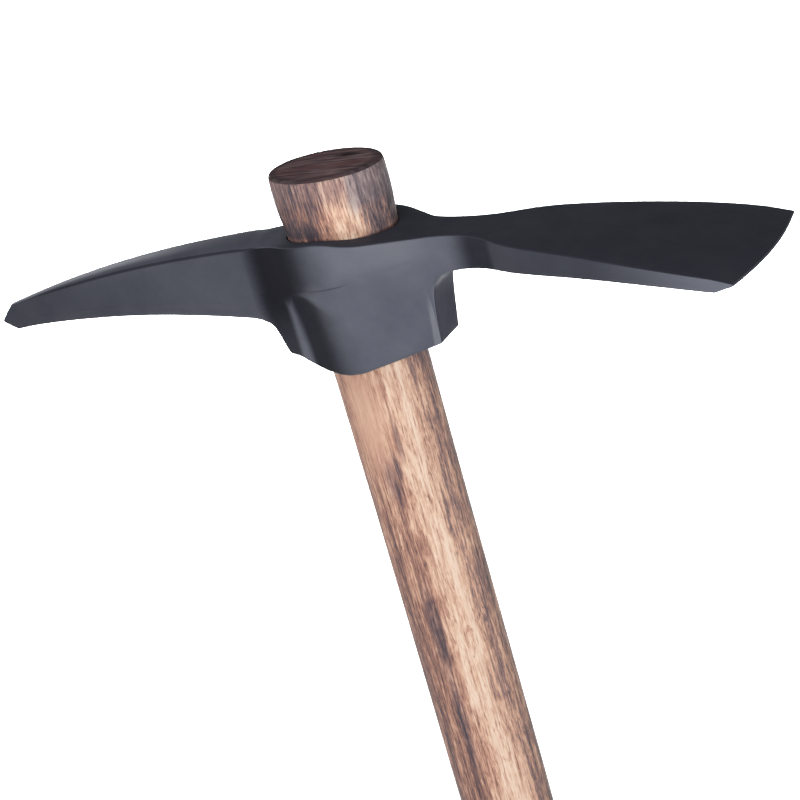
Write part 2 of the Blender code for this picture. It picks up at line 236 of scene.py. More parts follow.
head = new_ring("mattock_head", 2 * LEVELS - 2, 4 * MM, "NOTHING",
                location=(STATIONS[0][0] * MM, 0, RIM), rotation=(math.pi / 2, 0, math.pi / 2))
level_mark = head.data.attributes.new("level", "INT", "POINT")
by_height = sorted(head.data.vertices, key=lambda v: (-round(v.co.z, 6), v.co.y))
for rank, vert in enumerate(by_height):
    level_mark.data[vert.index].value = (rank + 1) // 2
print("levels", sorted({item.value for item in level_mark.data}))


# %% Draw the cage out
def level_of(thing):
    """The mesh that is being edited, and the layer that holds each corner's level."""
    bm = bmesh.from_edit_mesh(thing.data)
    return bm, bm.verts.layers.int["level"]


def shape_ring(thing, old, station):
    """Moves the selected ring's corners, level by level, from their old places to the station's."""
    bm, layer = level_of(thing)
    ring = [v for v in bm.verts if v.select]
    for number, ((old_half, old_height), (half, height), bow) in enumerate(
            zip(old, corners(station), bows(station))):
        bpy.ops.mesh.select_all(action="DESELECT")
        for v in ring:
            if v[layer] == number:
                v.select_set(True)
        if old_half:
            bpy.ops.transform.resize(value=(1, half / old_half, 1), center_override=(0, 0, RIM))
        bpy.ops.transform.translate(value=(bow * MM, 0, (height - old_height) * MM))
    for v in ring:
        v.select_set(True)
    bm.select_flush(True)


def straighten(station):
    """Takes the bow out of the newest ring again, so that the next one starts flat."""
    bpy.ops.transform.resize(value=(0, 1, 1), center_override=(station[0] * MM, 0, RIM))


edit(head)
bpy.ops.mesh.select_all(action="SELECT")
bm, layer = level_of(head)
circle = {v[layer]: (abs(v.co.y) / MM, (v.co.z - RIM) / MM) for v in bm.verts}
shape_ring(head, [circle[number] for number in range(LEVELS)], STATIONS[0])
for last, station in zip(STATIONS, STATIONS[1:]):
    bpy.ops.mesh.extrude_region_move(TRANSFORM_OT_translate={"value": (0, 0, 0)})
    straighten(last)
    bpy.ops.transform.translate(value=((station[0] - last[0]) * MM, 0, 0))
    shape_ring(head, corners(last), station)
bpy.ops.object.mode_set(mode="OBJECT")
print("cage:", len(head.data.vertices), "corners,", len(head.data.polygons), "faces")


# %% [markdown]
# Both ends are still open. They are closed with upright four-cornered faces, made one by one, because a
# single many-cornered face would pucker when it is subdivided. Only the last face at each side is a
# triangle.

# %% Close the point and the cutting edge
SLACK = 0.05 * MM  # corners this near to a ring's place belong to it


def ring_places(along):
    """Where each level of the station nearest to a place lies along the head, in metres."""
    station = min(STATIONS, key=lambda row: abs(row[0] - along))
    return [(station[0] + bow) * MM for bow in bows(station)]


def close_end(thing, places):
    """Fills one end face by face from its middle out to the side, first one half, then the other."""
    for side in (1, -1):
        for upper in range(LEVELS // 2):
            wanted = {upper, upper + 1, LEVELS - 2 - upper, LEVELS - 1 - upper}
            bm, layer = level_of(thing)
            bpy.ops.mesh.select_all(action="DESELECT")
            for v in bm.verts:
                on_half = v.co.y * side > 0 or v[layer] in (0, LEVELS - 1)
                if abs(v.co.x - places[v[layer]]) < SLACK and v[layer] in wanted and on_half:
                    v.select_set(True)
            bm.select_flush(True)
            bpy.ops.mesh.edge_face_add()


edit(head)
for end in (STATIONS[0], STATIONS[-1]):
    close_end(head, ring_places(end[0]))
bpy.ops.mesh.select_all(action="SELECT")
bpy.ops.mesh.normals_make_consistent(inside=False)
bpy.ops.object.mode_set(mode="OBJECT")
print("cage closed:", len(head.data.polygons), "faces")


# %% [markdown]
# In two places a thin dark line of painted shade goes on: in the step under the trim line, where it runs
# over the cheek, and along the waist of the pick. The line is written on the corners of the cage as a
# number from 0 to 1, because subdividing carries it along and the finish can read it later.

# %% Mark the seams
def share(value, start, stop):
    """How far a value has come from start to stop, from 0 to 1."""
    return min(1.0, max(0.0, (value - start) / (stop - start)))


seam_mark = head.data.attributes.new("seam", "FLOAT", "POINT")
for vert, level in zip(head.data.vertices, head.data.attributes["level"].data):
    along = vert.co.x / MM
    on_cheek = share(along, -33, -27) * share(along, 52, 12)
    on_waist = 0.96 * (-212 < along < -60)
    seam_mark.data[vert.index].value = {UNDER_TRIM: on_cheek, WAIST: on_waist}.get(level.value, 0.0)
print("corners on a seam:", sum(item.value > 0 for item in seam_mark.data))


# %% [markdown]
# Subdivision rounds everything alike, but a forging is crisp where the die closed or the grinder passed:
# along the waist of the pick, round its point, on the trim line that runs over each cheek and the step
# under it, round the foot of the collar, down the ridge of the nose and the corners of the heel, and where
# the bevel of the blade starts. Those edges get a crease, which holds the surface back, from 0 for none to
# 1 for knife-sharp.

# %% Creases
ALONG = [
    # what it is, crease, levels, and the two places it runs between, in millimetres
    ("waist of the pick", 0.7, {WAIST}, -219, -54),
    ("trim line on the cheeks", 0.9, {TRIM}, -33, 53),
    ("foot of the trim line", 0.8, {UNDER_TRIM}, -33, 49),
    ("foot of the collar", 0.4, FOOT_EDGE, -49, 47),
]
ACROSS = [
    # what it is, crease, levels, and its station, in millimetres
    ("round the point", 0.6, range(LEVELS), -218.4),
    ("ridge on the nose", 0.6, {WAIST, *FOOT_EDGE}, -34.2),
    ("start of the heel's chamfer", 0.5, {WAIST, *FOOT_EDGE}, 43.0),
    ("corner of the heel", 0.8, range(WAIST, LEVELS), 45.6),
    ("start of the bevel", 0.7, range(WAIST + 1, LEVELS), 224.4),
]


def runs_along(edge, layer, levels, start, stop):
    """Whether an edge runs along one of these levels between two places."""
    first, second = (v[layer] for v in edge.verts)
    low, high = sorted(v.co.x / MM for v in edge.verts)
    return first == second and first in levels and low >= start and high <= stop


def lies_across(edge, layer, levels, places):
    """Whether an edge joins two of these levels on the ring that lies at these places."""
    pair = {v[layer] for v in edge.verts}
    on_ring = all(abs(v.co.x - places[v[layer]]) < SLACK for v in edge.verts)
    return len(pair) == 2 and pair <= set(levels) and on_ring


def crease(thing, name, value, wanted):
    """Creases the edges that pass a test."""
    count = choose(thing, "edges", wanted)
    bpy.ops.transform.edge_crease(value=value)
    print(name, count, "edges")


edit(head, "EDGE")
for name, value, levels, start, stop in ALONG:
    layer = level_of(head)[1]
    crease(head, name, value, lambda e: runs_along(e, layer, levels, start, stop))
for name, value, levels, along in ACROSS:
    layer, places = level_of(head)[1], ring_places(along)
    crease(head, name, value, lambda e: lies_across(e, layer, levels, places))
bpy.ops.object.mode_set(mode="OBJECT")

# %% [markdown]
# The corner of the heel isn't upright. At the waist it stands a few millimetres further out along the adze
# than at the foot, so two rings are pulled out there. That comes after the creases, because those find
# their edges by the places in the table.

# %% Lean the heel
HEEL_LEANS = [(45.6, 3.2), (43.0, 3.4)]  # station, and how far its waist moves out, in millimetres

edit(head)
for along, distance in HEEL_LEANS:
    layer = level_of(head)[1]
    count = choose(head, "verts", lambda v: v[layer] == WAIST and abs(v.co.x - along * MM) < SLACK)
    bpy.ops.transform.translate(value=(distance * MM, 0, 0))
    print(count, "corners moved out by", distance, "mm")
bpy.ops.object.mode_set(mode="OBJECT")

# %% Smooth the cage
SUBDIVISIONS = 3

flow = head.modifiers.new("flow", "SUBSURF")
flow.levels = flow.render_levels = SUBDIVISIONS
only(head)
bpy.ops.object.modifier_apply(modifier=flow.name)
print("head:", len(head.data.polygons), "faces")

# %% [markdown]
# ## The eye
#
# The eye is an oval hole that narrows towards the grip, so the handle jams in it. A drift opens it in one
# go while the steel is hot, and leaves its mouth slightly rounded. The drift here is a cylinder whose rings
# are scaled to the oval at each height, and a Boolean takes it away from the head. The rim rises in a small
# wave beside the eye, so the drift reaches 4 mm above it and keeps widening up there: wherever it leaves
# the steel, the mouth comes out rounded.

# %% Cut the eye
EYE = [
    # height from the rim, half length, half width, in millimetres
    (-92.0, 28.3, 19.8), (-76.0, 28.3, 19.8), (-2.4, 32.1, 22.6), (-1.0, 32.5, 23.0), (0.4, 33.3, 23.8),
    (1.6, 34.2, 24.7), (4.0, 35.4, 25.9),
]


def draw_oval(name, count, rows, base):
    """Draws an oval up from its first row. A row is a height above the base, a half length and a half
    width, all in millimetres."""
    height, half_length, half_width = rows[0]
    foot = base + height * MM
    made = new_ring(name, count, half_length * MM, "NGON", location=(0, 0, foot))
    edit(made)
    bpy.ops.mesh.select_all(action="SELECT")
    bpy.ops.transform.resize(value=(1, half_width / half_length, 1), center_override=(0, 0, foot))
    for last, row in zip(rows, rows[1:]):
        bpy.ops.mesh.extrude_region_move(TRANSFORM_OT_translate={"value": (0, 0, (row[0] - last[0]) * MM)})
        bpy.ops.transform.resize(value=(row[1] / last[1], row[2] / last[2], 1),
                                 center_override=(0, 0, base + row[0] * MM))
    bpy.ops.mesh.select_all(action="SELECT")
    bpy.ops.mesh.normals_make_consistent(inside=False)
    bpy.ops.object.mode_set(mode="OBJECT")
    return made


def take_away(thing, cutter, name, smooth_up_to):
    """Takes a cutter away from a piece, then smooths the piece where its faces meet at less than an angle
    in degrees."""
    cut = thing.modifiers.new(name, "BOOLEAN")
    cut.operation = "DIFFERENCE"
    cut.solver = "EXACT"
    cut.object = cutter
    only(thing)
    bpy.ops.object.modifier_apply(modifier=cut.name)
    bpy.data.objects.remove(cutter, do_unlink=True)
    only(thing)
    bpy.ops.object.shade_smooth_by_angle(angle=math.radians(smooth_up_to))


drift = draw_oval("drift", 128, EYE, base=RIM)
take_away(head, drift, "eye", smooth_up_to=38)
print("head with its eye:", len(head.data.polygons), "faces")

# %% [markdown]
# ## The handle
#
# The handle is an oval all the way up. At the butt it swells a little for the hand, the grip above it is
# slim, and from there it grows until it fills the eye, then swells once more so that the head can't fly
# off. Each row is a height and the two half sizes of the oval there. The ring is extruded up from the butt
# and scaled at each row, like turning on an oval lathe.

# %% Rows of the handle, in millimetres from the butt
HANDLE = [
    (0.0, 17.8, 9.3), (0.8, 20.8, 12.3), (3.0, 23.0, 14.5), (6.0, 23.8, 15.3), (18.0, 23.8, 15.3),
    (30.0, 23.8, 15.3), (84.0, 23.6, 15.1), (138.0, 23.2, 14.7), (192.0, 22.9, 14.4), (246.0, 22.7, 14.2),
    (300.0, 22.6, 14.1), (356.0, 23.6, 15.1), (413.0, 25.0, 16.5), (470.0, 26.4, 17.9), (528.0, 27.0, 18.5),
    (613.0, 27.2, 18.7), (700.0, 27.5, 19.0), (788.0, 28.3, 19.8), (825.0, 30.1, 21.1), (862.0, 31.75, 22.25),
    (866.0, 32.1, 22.5), (870.0, 32.5, 22.9), (874.5, 33.0, 23.3), (879.0, 33.4, 23.6),
    (885.0, 33.6, 23.8), (892.0, 33.6, 23.8), (896.6, 33.5, 23.7), (898.4, 33.2, 23.4),
    (899.4, 32.6, 22.8), (899.9, 31.8, 22.0), (900.0, 31.2, 21.4),
]
print("handle", HANDLE[-1][0], "mm long, slimmest", min(r[1] for r in HANDLE[4:-6]) * 2, "mm")

# %% Draw the handle up
handle = draw_oval("mattock_handle", 96, HANDLE, base=0.0)
print("handle drawn up:", len(handle.data.polygons), "faces")

# %% [markdown]
# As the wood dries it splits a little at the sawn end. The drying crack is a lens about 15 mm long and
# 2.6 mm wide that runs along the rings and is deepest in its middle, so a flattened ball is sunk into the
# end and taken away.

# %% Drying crack in the end grain
CRACK = (9.0, 10.4)  # its middle, in millimetres from the handle's axis
CRACK_RADII = (7.6, 1.3, 7.0)  # along the rings, across them and down, in millimetres

bpy.ops.object.select_all(action="DESELECT")
bpy.ops.mesh.primitive_uv_sphere_add(segments=24, ring_count=16, radius=1.0,
                                     location=(CRACK[0] * MM, CRACK[1] * MM, HANDLE_TOP))
splitter = bpy.context.object
splitter.scale = [radius * MM for radius in CRACK_RADII]
bpy.ops.object.transform_apply(location=True, rotation=True, scale=True)
take_away(handle, splitter, "crack", smooth_up_to=30)
print("handle:", len(handle.data.polygons), "faces")


# %% [markdown]
# ## Materials
#
# Colours are written as sRGB codes, as a painter would pick them, and turned to the linear values that
# shaders work with. One helper adds a node, sets it and links it. Where a finish changes from place to
# place, a mask says how much of it lies there: a mask is a number from 0 to 1, built from soft steps.

# %% Colour and node helpers
def linear(code):
    """The linear colour of an sRGB code such as #808080."""
    parts = [int(code[i:i + 2], 16) / 255 for i in (1, 3, 5)]
    return tuple(p / 12.92 if p <= 0.04045 else ((p + 0.055) / 1.055) ** 2.4 for p in parts) + (1.0,)


def add(tree, kind, links=None, stops=None, **settings):
    """Adds a node, sets it, links or fills its inputs, and fills its colour ramp if it has one."""
    made = tree.nodes.new(kind)
    for name, value in settings.items():
        setattr(made, name, value)
    for socket, value in (links or {}).items():
        if isinstance(value, bpy.types.NodeSocket):
            tree.links.new(value, made.inputs[socket])
        else:
            made.inputs[socket].default_value = value
    for index, (place_on_ramp, colour) in enumerate(stops or []):
        ramp = made.color_ramp.elements
        stop = ramp[index] if index < 2 else ramp.new(place_on_ramp)
        stop.position = place_on_ramp
        stop.color = linear(colour) if isinstance(colour, str) else (colour, colour, colour, 1.0)
    return made


def new_material(name):
    """An empty material with its shader. Returns the material, its node tree and the shader."""
    made = bpy.data.materials.new(name)
    made.use_nodes = True
    tree = made.node_tree
    tree.nodes.clear()
    output = add(tree, "ShaderNodeOutputMaterial")
    shader = add(tree, "ShaderNodeBsdfPrincipled")
    tree.links.new(shader.outputs["BSDF"], output.inputs["Surface"])
    return made, tree, shader


print("a mid grey of #808080 is", round(linear("#808080")[0], 3), "in linear light")


# %% Masks
def mask(tree, *steps):
    """Multiplies soft steps into one mask. A step is a value and the two places between which it goes from
    0 to 1, or these and what it goes from and to. A ready mask or a strength may stand among the steps."""
    together = None
    for step in steps:
        if isinstance(step, tuple):
            value, start, stop, low, high = step if len(step) == 5 else (*step, 0.0, 1.0)
            step = add(tree, "ShaderNodeMapRange", {"Value": value, "From Min": start, "From Max": stop,
                                                    "To Min": low, "To Max": high},
                       interpolation_type="SMOOTHSTEP").outputs["Result"]
        if together is None:
            together = step
        else:
            together = add(tree, "ShaderNodeMath", {0: together, 1: step},
                           operation="MULTIPLY").outputs["Value"]
    return together


def strongest(tree, *masks):
    """The strongest of several masks at each place."""
    winner = masks[0]
    for other in masks[1:]:
        winner = add(tree, "ShaderNodeMath", {0: other, 1: winner}, operation="MAXIMUM").outputs["Value"]
    return winner


def pile(tree, base, layers):
    """Adds shares of several patterns to a value, one after the other."""
    for pattern, amount in layers:
        base = add(tree, "ShaderNodeMath", {0: pattern, 1: amount, 2: base},
                   operation="MULTIPLY_ADD").outputs["Value"]
    return base


def paint(tree, ground, coats):
    """Lays colours over a ground, one after the other, each where its mask lets it."""
    for where_it_lies, colour in coats:
        colour = linear(colour) if isinstance(colour, str) else colour
        ground = add(tree, "ShaderNodeMix", {"Factor": where_it_lies, "A": ground, "B": colour},
                     data_type="RGBA").outputs["Result"]
    return ground


print("helpers for masks:", ", ".join(f.__name__ for f in (mask, strongest, pile, paint)))

# %% [markdown]
# ### Black lacquered forging
#
# The head is carbon steel, drop forged, blasted and dipped in a thin satin black lacquer. The lacquer makes
# it a dark slate grey with a soft sheen, not bare metal, so it isn't metallic, and its roughness of about
# 0.45 is that of a satin coat. A dip coat is never quite even, so a slow cloudy noise moves both a little.

# %% Black lacquered forging: the coat
CLOUDS = 30 * MM  # how far apart the thinner and thicker patches of the coat lie

lacquer, tree, shader = new_material("black_lacquered_forging")
where = add(tree, "ShaderNodeTexCoord").outputs
place = where["Object"]
axes = add(tree, "ShaderNodeSeparateXYZ", {"Vector": place}).outputs
facing = add(tree, "ShaderNodeSeparateXYZ", {"Vector": where["Normal"]}).outputs
clouds = add(tree, "ShaderNodeTexNoise", {"Vector": place, "Scale": 1 / CLOUDS, "Detail": 4.0,
                                          "Roughness": 0.6}).outputs["Fac"]
coat = add(tree, "ShaderNodeValToRGB", {"Fac": clouds}, stops=[(0.30, "#575a66"), (0.72, "#656873")])
satin = add(tree, "ShaderNodeMapRange", {"Value": clouds, "From Min": 0.3, "From Max": 0.7,
                                         "To Min": 0.52, "To Max": 0.42})
tree.links.new(satin.outputs["Result"], shader.inputs["Roughness"])
print("clouds in the coat every", round(CLOUDS / MM), "mm")

# %% [markdown]
# Shade is painted into the lacquer as a colour near black: between the collar and the pick, on both sides
# of the ridge on the nose, round the waist of the adze, and on the tops of the collar and the blade. The
# sides and the near edge of the pick and the face of the heel get some of this painted shade too. Each of
# these places is a mask, and the strongest one wins. The steps run along the head (X), across it (Y) and
# down from the rim (depth), in metres, or along one part of the surface's normal, which tells a top from a
# side.

# %% Black lacquered forging: measures on the head
depth = add(tree, "ShaderNodeMath", {0: RIM, 1: axes["Z"]}, operation="SUBTRACT").outputs["Value"]
on_top = mask(tree, (facing["Z"], 0.45, 0.85))
on_side = add(tree, "ShaderNodeMath", {0: 1.0, 1: on_top}, operation="SUBTRACT").outputs["Value"]
on_pick = mask(tree, (axes["X"], -0.042, -0.050))
# Depth that counts more, or less, towards the cheek, and length that leans as the ridge does.
deeper_at_cheek = pile(tree, depth, [(axes["X"], 0.5)])
shallower_at_cheek = pile(tree, depth, [(axes["X"], -0.5)])
along_ridge = pile(tree, axes["X"], [(depth, -0.13)])
print("measures stand ready:", len(tree.nodes), "nodes")

# %% Black lacquered forging: painted shade
below_rim = strongest(tree, mask(tree, (depth, 0.012, 0.018)), on_side)
pick_root = mask(tree, (axes["X"], -0.067, -0.046, 0.0, 0.93), (axes["X"], 0.006, -0.031), below_rim,
                 (deeper_at_cheek, 0.026, 0.012))
nose_side = mask(tree, (axes["X"], -0.064, -0.048), (axes["X"], -0.033, -0.0395), (depth, 0.022, 0.029),
                 (depth, 0.036, 0.060, 0.92, 0.76))
flute = mask(tree, (along_ridge, -0.042, -0.0355, 0.0, 0.86), (along_ridge, 0.0, -0.029),
             (shallower_at_cheek, 0.037, 0.046))
adze_waist = mask(tree, (axes["X"], 0.062, 0.080, 0.0, 0.80), (axes["X"], 0.104, 0.089), on_side)
blade_root = mask(tree, (axes["X"], 0.062, 0.080, 0.0, 0.60))
heel_face = mask(tree, (facing["X"], 0.86, 0.95, 0.0, 0.66))
tops = mask(tree, on_top, (axes["X"], -0.044, -0.022, 0.22, 0.70))
near_edge_of_pick = mask(tree, (facing["Z"], 0.985, 0.85, 0.0, 0.72), (facing["Z"], 0.20, 0.45),
                         (facing["Y"], -0.05, -0.25), on_pick)
pick_side = mask(tree, (axes["X"], -0.080, -0.230, 0.40, 0.62), on_pick, on_side)
# Painted shade: the strongest of these masks wins, painted near black, and bluish on the face of the heel.
painted_shade_places = [pick_side, pick_root, nose_side, flute, adze_waist, blade_root, heel_face, tops,
                near_edge_of_pick]
painted_shade = strongest(tree, *painted_shade_places)
shade_colour = paint(tree, linear("#16151b"), [(heel_face, "#2a2544")])
print(len(painted_shade_places), "places where the lacquer lies thick")

# %% [markdown]
# Paler colour is painted in as highlights: on the trimmed sides of the blade, on the heel's chamfer and
# along the rim beside the adze, and as a painted reflection on the far half of the pick's top. The seams
# that were marked on the cage come out as thin dark lines of painted shade. Where shade is painted in, the
# coat also reflects less, so those places stay nearly black under the lamps.

# %% Black lacquered forging: painted highlights, and its colour
# Painted highlights on the blade's sides, the heel's chamfer and the rim; a painted reflection on the pick.
lit_blade_sides = mask(tree, (add(tree, "ShaderNodeMath", {0: facing["Y"]}, operation="ABSOLUTE").outputs["Value"],
                      0.6, 0.85), (axes["X"], 0.150, 0.245))
chamfer = mask(tree, (facing["X"], 0.40, 0.60), (facing["X"], 0.90, 0.78), (depth, 0.030, 0.042, 0.0, 0.70),
               (axes["X"], 0.041, 0.043))
rim_sheen_by_adze = mask(tree, (axes["X"], -0.008, 0.012, 0.0, 0.35), (axes["X"], 0.066, 0.040), on_side,
                   (depth, 0.026, 0.010))
half_width = add(tree, "ShaderNodeMath", {0: axes["X"], 1: 0.055, 2: 0.0185}, operation="MULTIPLY_ADD")
out_from_middle = add(tree, "ShaderNodeMath", {0: axes["Y"], 1: half_width.outputs["Value"]},
                      operation="DIVIDE").outputs["Value"]
far_half_sheen = mask(tree, (out_from_middle, -0.70, 0.05), (axes["X"], -0.070, -0.155), on_top)
# Painted shade: thin dark lines along the marked seams.
seam = add(tree, "ShaderNodeAttribute", attribute_name="seam").outputs["Fac"]
seam_shade_line = mask(tree, (seam, 0.94, 0.99, 0.0, 0.45))
colour = paint(tree, coat.outputs["Color"], [
    (painted_shade, shade_colour), (lit_blade_sides, "#6f727d"), (strongest(tree, chamfer, rim_sheen_by_adze), "#84868f"),
    (far_half_sheen, "#b2b4be"), (seam_shade_line, "#1c1c21")])
tree.links.new(colour, shader.inputs["Base Color"])
# Where shade is painted in, the lacquer also reflects less, so it stays nearly black under the lamps.
tree.links.new(mask(tree, (painted_shade, 0.25, 0.80, 0.18, 0.03)), shader.inputs["Specular IOR Level"])
print("colour of the lacquer:", len(tree.nodes), "nodes so far")

# %% [markdown]
# Slow waves from the hammer stay visible on the collar and the pick, and so does a fine pebbled skin from
# blasting. The blade was rolled flat, so it has no waves.

# %% Black lacquered forging: relief
HAMMER_WAVES = 22 * MM
BLASTED_SKIN = 1.1 * MM  # blasting grit is finer, but would not show at this distance

waves = add(tree, "ShaderNodeTexNoise", {"Vector": place, "Scale": 1 / HAMMER_WAVES, "Detail": 1.5})
wave_height = mask(tree, waves.outputs["Fac"], (axes["X"], 0.075, 0.045))
skin = add(tree, "ShaderNodeTexNoise", {"Vector": place, "Scale": 1 / BLASTED_SKIN, "Detail": 2.0})
hammered = add(tree, "ShaderNodeBump", {"Height": wave_height, "Strength": 0.35, "Distance": 1.6 * MM})
pebbled = add(tree, "ShaderNodeBump", {"Height": skin.outputs["Fac"], "Strength": 0.3, "Distance": 0.1 * MM,
                                       "Normal": hammered.outputs["Normal"]})
tree.links.new(pebbled.outputs["Normal"], shader.inputs["Normal"])
head.data.materials.append(lacquer)
print(lacquer.name, len(tree.nodes), "nodes")

# %% [markdown]
# ### Torched ash
#
# The handle is ash, sanded and then passed through a flame. The flame browns the left in fine streaks
# and smokes the right round end to a mottled purple grey, and a strip down the front stays cream. This is
# partly the burn and partly painted light: the cream strip is also a painted highlight, and the darker
# right round end is also painted shade. A ramp across the handle's width gives how dark each strip is.
# There is one for the shaft and one for the end above the head, where both round ends are darker. A slow
# noise makes the strips wander.

# %% Torched ash: burnt strips, with painted highlight and shade
STRIP_WANDER = 12 * MM
HALF_WIDTH = 28 * MM  # the strips are laid out over this much of the handle on either side of its middle

ash, tree, shader = new_material("torched_ash")
place = add(tree, "ShaderNodeTexCoord").outputs["Object"]
axes = add(tree, "ShaderNodeSeparateXYZ", {"Vector": place}).outputs
height = axes["Z"]


def drawn_out(tree, place, width, draw, detail, distortion=0.0):
    """Noise whose blots are a given width in metres, and longer along the handle by a factor."""
    stretched = add(tree, "ShaderNodeMapping", {"Vector": place, "Scale": (1.0, 1.0, 1.0 / draw)})
    made = add(tree, "ShaderNodeTexNoise", {"Vector": stretched.outputs["Vector"], "Scale": 1 / width,
                                            "Detail": detail, "Roughness": 0.6, "Distortion": distortion})
    return add(tree, "ShaderNodeMath", {0: made.outputs["Fac"], 1: 0.5},
               operation="SUBTRACT").outputs["Value"]


wander = drawn_out(tree, place, STRIP_WANDER, 5, 2.0)
across = pile(tree, 0.5, [(axes["X"], 0.5 / HALF_WIDTH)])
strip = pile(tree, across, [(wander, 0.26)])
cap_strip = pile(tree, across, [(wander, 0.10)])
on_shaft = add(tree, "ShaderNodeValToRGB", {"Fac": strip},
               stops=[(0.0, 0.46), (0.25, 0.50), (0.44, 0.46), (0.56, 0.38), (0.65, 0.23), (0.83, 0.20),
                      (0.90, 0.36), (0.95, 0.44), (1.0, 0.40)])
above_head = add(tree, "ShaderNodeValToRGB", {"Fac": cap_strip},
                 stops=[(0.0, 0.74), (0.25, 0.68), (0.45, 0.58), (0.60, 0.44), (0.69, 0.27), (0.90, 0.22),
                        (0.96, 0.54), (1.0, 0.66)])
on_cap = mask(tree, (height, RIM - 2 * MM, RIM + 4 * MM))
under_cap_edge = mask(tree, (height, HANDLE_TOP - 22 * MM, HANDLE_TOP - 7 * MM))
# Partly burn, partly painted light: the cream strip is a painted highlight, the right end painted shade.
burn_and_light_strips = paint(tree, on_shaft.outputs["Color"], [
    (on_cap, above_head.outputs["Color"]), (mask(tree, under_cap_edge, 0.62), (0.56, 0.56, 0.56, 1.0))])
print("strips laid over", round(2 * HALF_WIDTH / MM), "mm")

# %% [markdown]
# The grain is four noises, all drawn out along the handle as fibres are. Ash pores are finer than a pixel,
# so the fibres and lines stand for them. The drying checks are thin dark cracks where a fifth noise crosses
# its middle value.

# %% Torched ash: grain
GRAIN = {
    # width of a blot in mm, how far it is drawn out, detail, distortion, share in the burn
    "fibres": (0.8, 6, 2.0, 0.0, 0.65),
    "lines": (1.2, 18, 3.0, 0.2, 0.95),
    "streaks": (4.2, 14, 3.0, 0.4, 0.75),
    "blotches": (6.0, 2.5, 4.0, 0.6, 0.50),
}
grain = {name: drawn_out(tree, place, width * MM, draw, detail, distortion)
         for name, (width, draw, detail, distortion, _) in GRAIN.items()}
burn = pile(tree, burn_and_light_strips, [(grain[name], GRAIN[name][-1]) for name in GRAIN])
off_middle = add(tree, "ShaderNodeMath", {0: drawn_out(tree, place, 4.0 * MM, 13, 3.0, 0.5)},
                 operation="ABSOLUTE").outputs["Value"]
checks = mask(tree, (off_middle, 0.016, 0.004))
print("grain of", ", ".join(f"{name} {row[0]} mm" for name, row in GRAIN.items()))

# %% [markdown]
# Towards the grip the flame browned both sides more, and the cream strip is painted lighter there as more
# of its painted highlight. In a few spots it left oval scorch marks: one by the top of the swell, the others
# down the edge of the cream strip. Just under the head it passed quickly and left a paler, even patch, and
# the foot of the swell is browner on the left. The heights in these masks are in metres above the butt.

# %% Torched ash: uneven flame and scorch marks
def oval_mark(tree, place, centre, radii):
    """An oval mark, from 1 in its middle to 0 at its edge. Sizes in mm. It marks where the flame stood too
    long, the pale patch, and the painted shade round the drying crack.
    """
    moved = add(tree, "ShaderNodeVectorMath", {0: place, 1: tuple(c * MM for c in centre)},
                operation="SUBTRACT").outputs["Vector"]
    scaled = add(tree, "ShaderNodeVectorMath", {0: moved, 1: tuple(r * MM for r in radii)},
                 operation="DIVIDE").outputs["Vector"]
    far = add(tree, "ShaderNodeVectorMath", {0: scaled}, operation="LENGTH").outputs["Value"]
    return mask(tree, (far, 1.35, 0.15))


MARKS = [
    # centre, radii, in millimetres
    ((-1.8, -23.0, 884.0), (3.2, 9.0, 9.5)),
    ((-3.0, -18.7, 721.0), (4.6, 8.0, 15.0)),
    ((2.2, -19.3, 729.0), (2.8, 8.0, 10.0)),
    ((7.2, -18.6, 744.0), (1.8, 8.0, 15.0)),
    ((-2.6, -17.8, 626.0), (4.6, 8.0, 34.0)),
    ((-2.2, -17.2, 578.0), (3.4, 7.0, 44.0)),
]
PALE_PATCH = ((-8.7, -19.0, 761.0), (16.2, 14.0, 46.0))

lower_left = mask(tree, (strip, 0.70, 0.50), (height, 0.70, 0.54))
lower_right = mask(tree, (strip, 0.80, 0.90), (height, 0.62, 0.54))
upper_right = mask(tree, (strip, 0.76, 0.88), (height, 0.70, 0.76), (height, RIM + 4 * MM, RIM - 2 * MM))
# Painted highlight: the cream strip is lighter towards the grip.
lower_cream_highlight = mask(tree, (strip, 0.58, 0.68), (strip, 0.88, 0.82), (height, 0.74, 0.66))
marks = mask(tree, strongest(tree, *(oval_mark(tree, place, *row) for row in MARKS)),
             pile(tree, 1.0, [(grain["streaks"], 1.6)]))
burn = pile(tree, burn, [(checks, 0.17), (lower_left, 0.14), (lower_right, 0.10), (upper_right, 0.05),
                         (lower_cream_highlight, -0.08), (marks, 0.26)])
pale_patch = mask(tree, oval_mark(tree, place, *PALE_PATCH), 0.82)
burn = add(tree, "ShaderNodeMix", {"Factor": pale_patch, "A": burn, "B": 0.24}).outputs["Result"]
foot_of_cap = mask(tree, on_cap, (height, RIM + 16 * MM, RIM + 5 * MM), (strip, 0.60, 0.46))
burn = pile(tree, burn, [(foot_of_cap, 0.25)])
print(len(MARKS), "scorch marks")

# %% [markdown]
# The burn picks the colour from cream over tan to near black. A greyer tone goes on the right round end,
# partly smoke and partly painted shade, and smoke greys the scorch marks and the top of the swell.
# Where the wood goes into the eye it is painted dark as the shade in the gap at the mouth. Below that, soot
# and oil stain the wood, and the stain fades downwards, so it shows only when the head is knocked down the
# handle.

# %% Torched ash: colour
wood_tone = add(tree, "ShaderNodeValToRGB", {"Fac": burn},
                stops=[(0.0, "#fde4cf"), (0.16, "#f4d1b6"), (0.32, "#ddaf96"), (0.48, "#b98b79"),
                       (0.64, "#8f6b61"), (0.80, "#655052"), (1.0, "#413a41")])
smoke_tone = add(tree, "ShaderNodeValToRGB", {"Fac": burn},
                 stops=[(0.25, "#ada0a0"), (0.60, "#776d73"), (0.95, "#494750")])
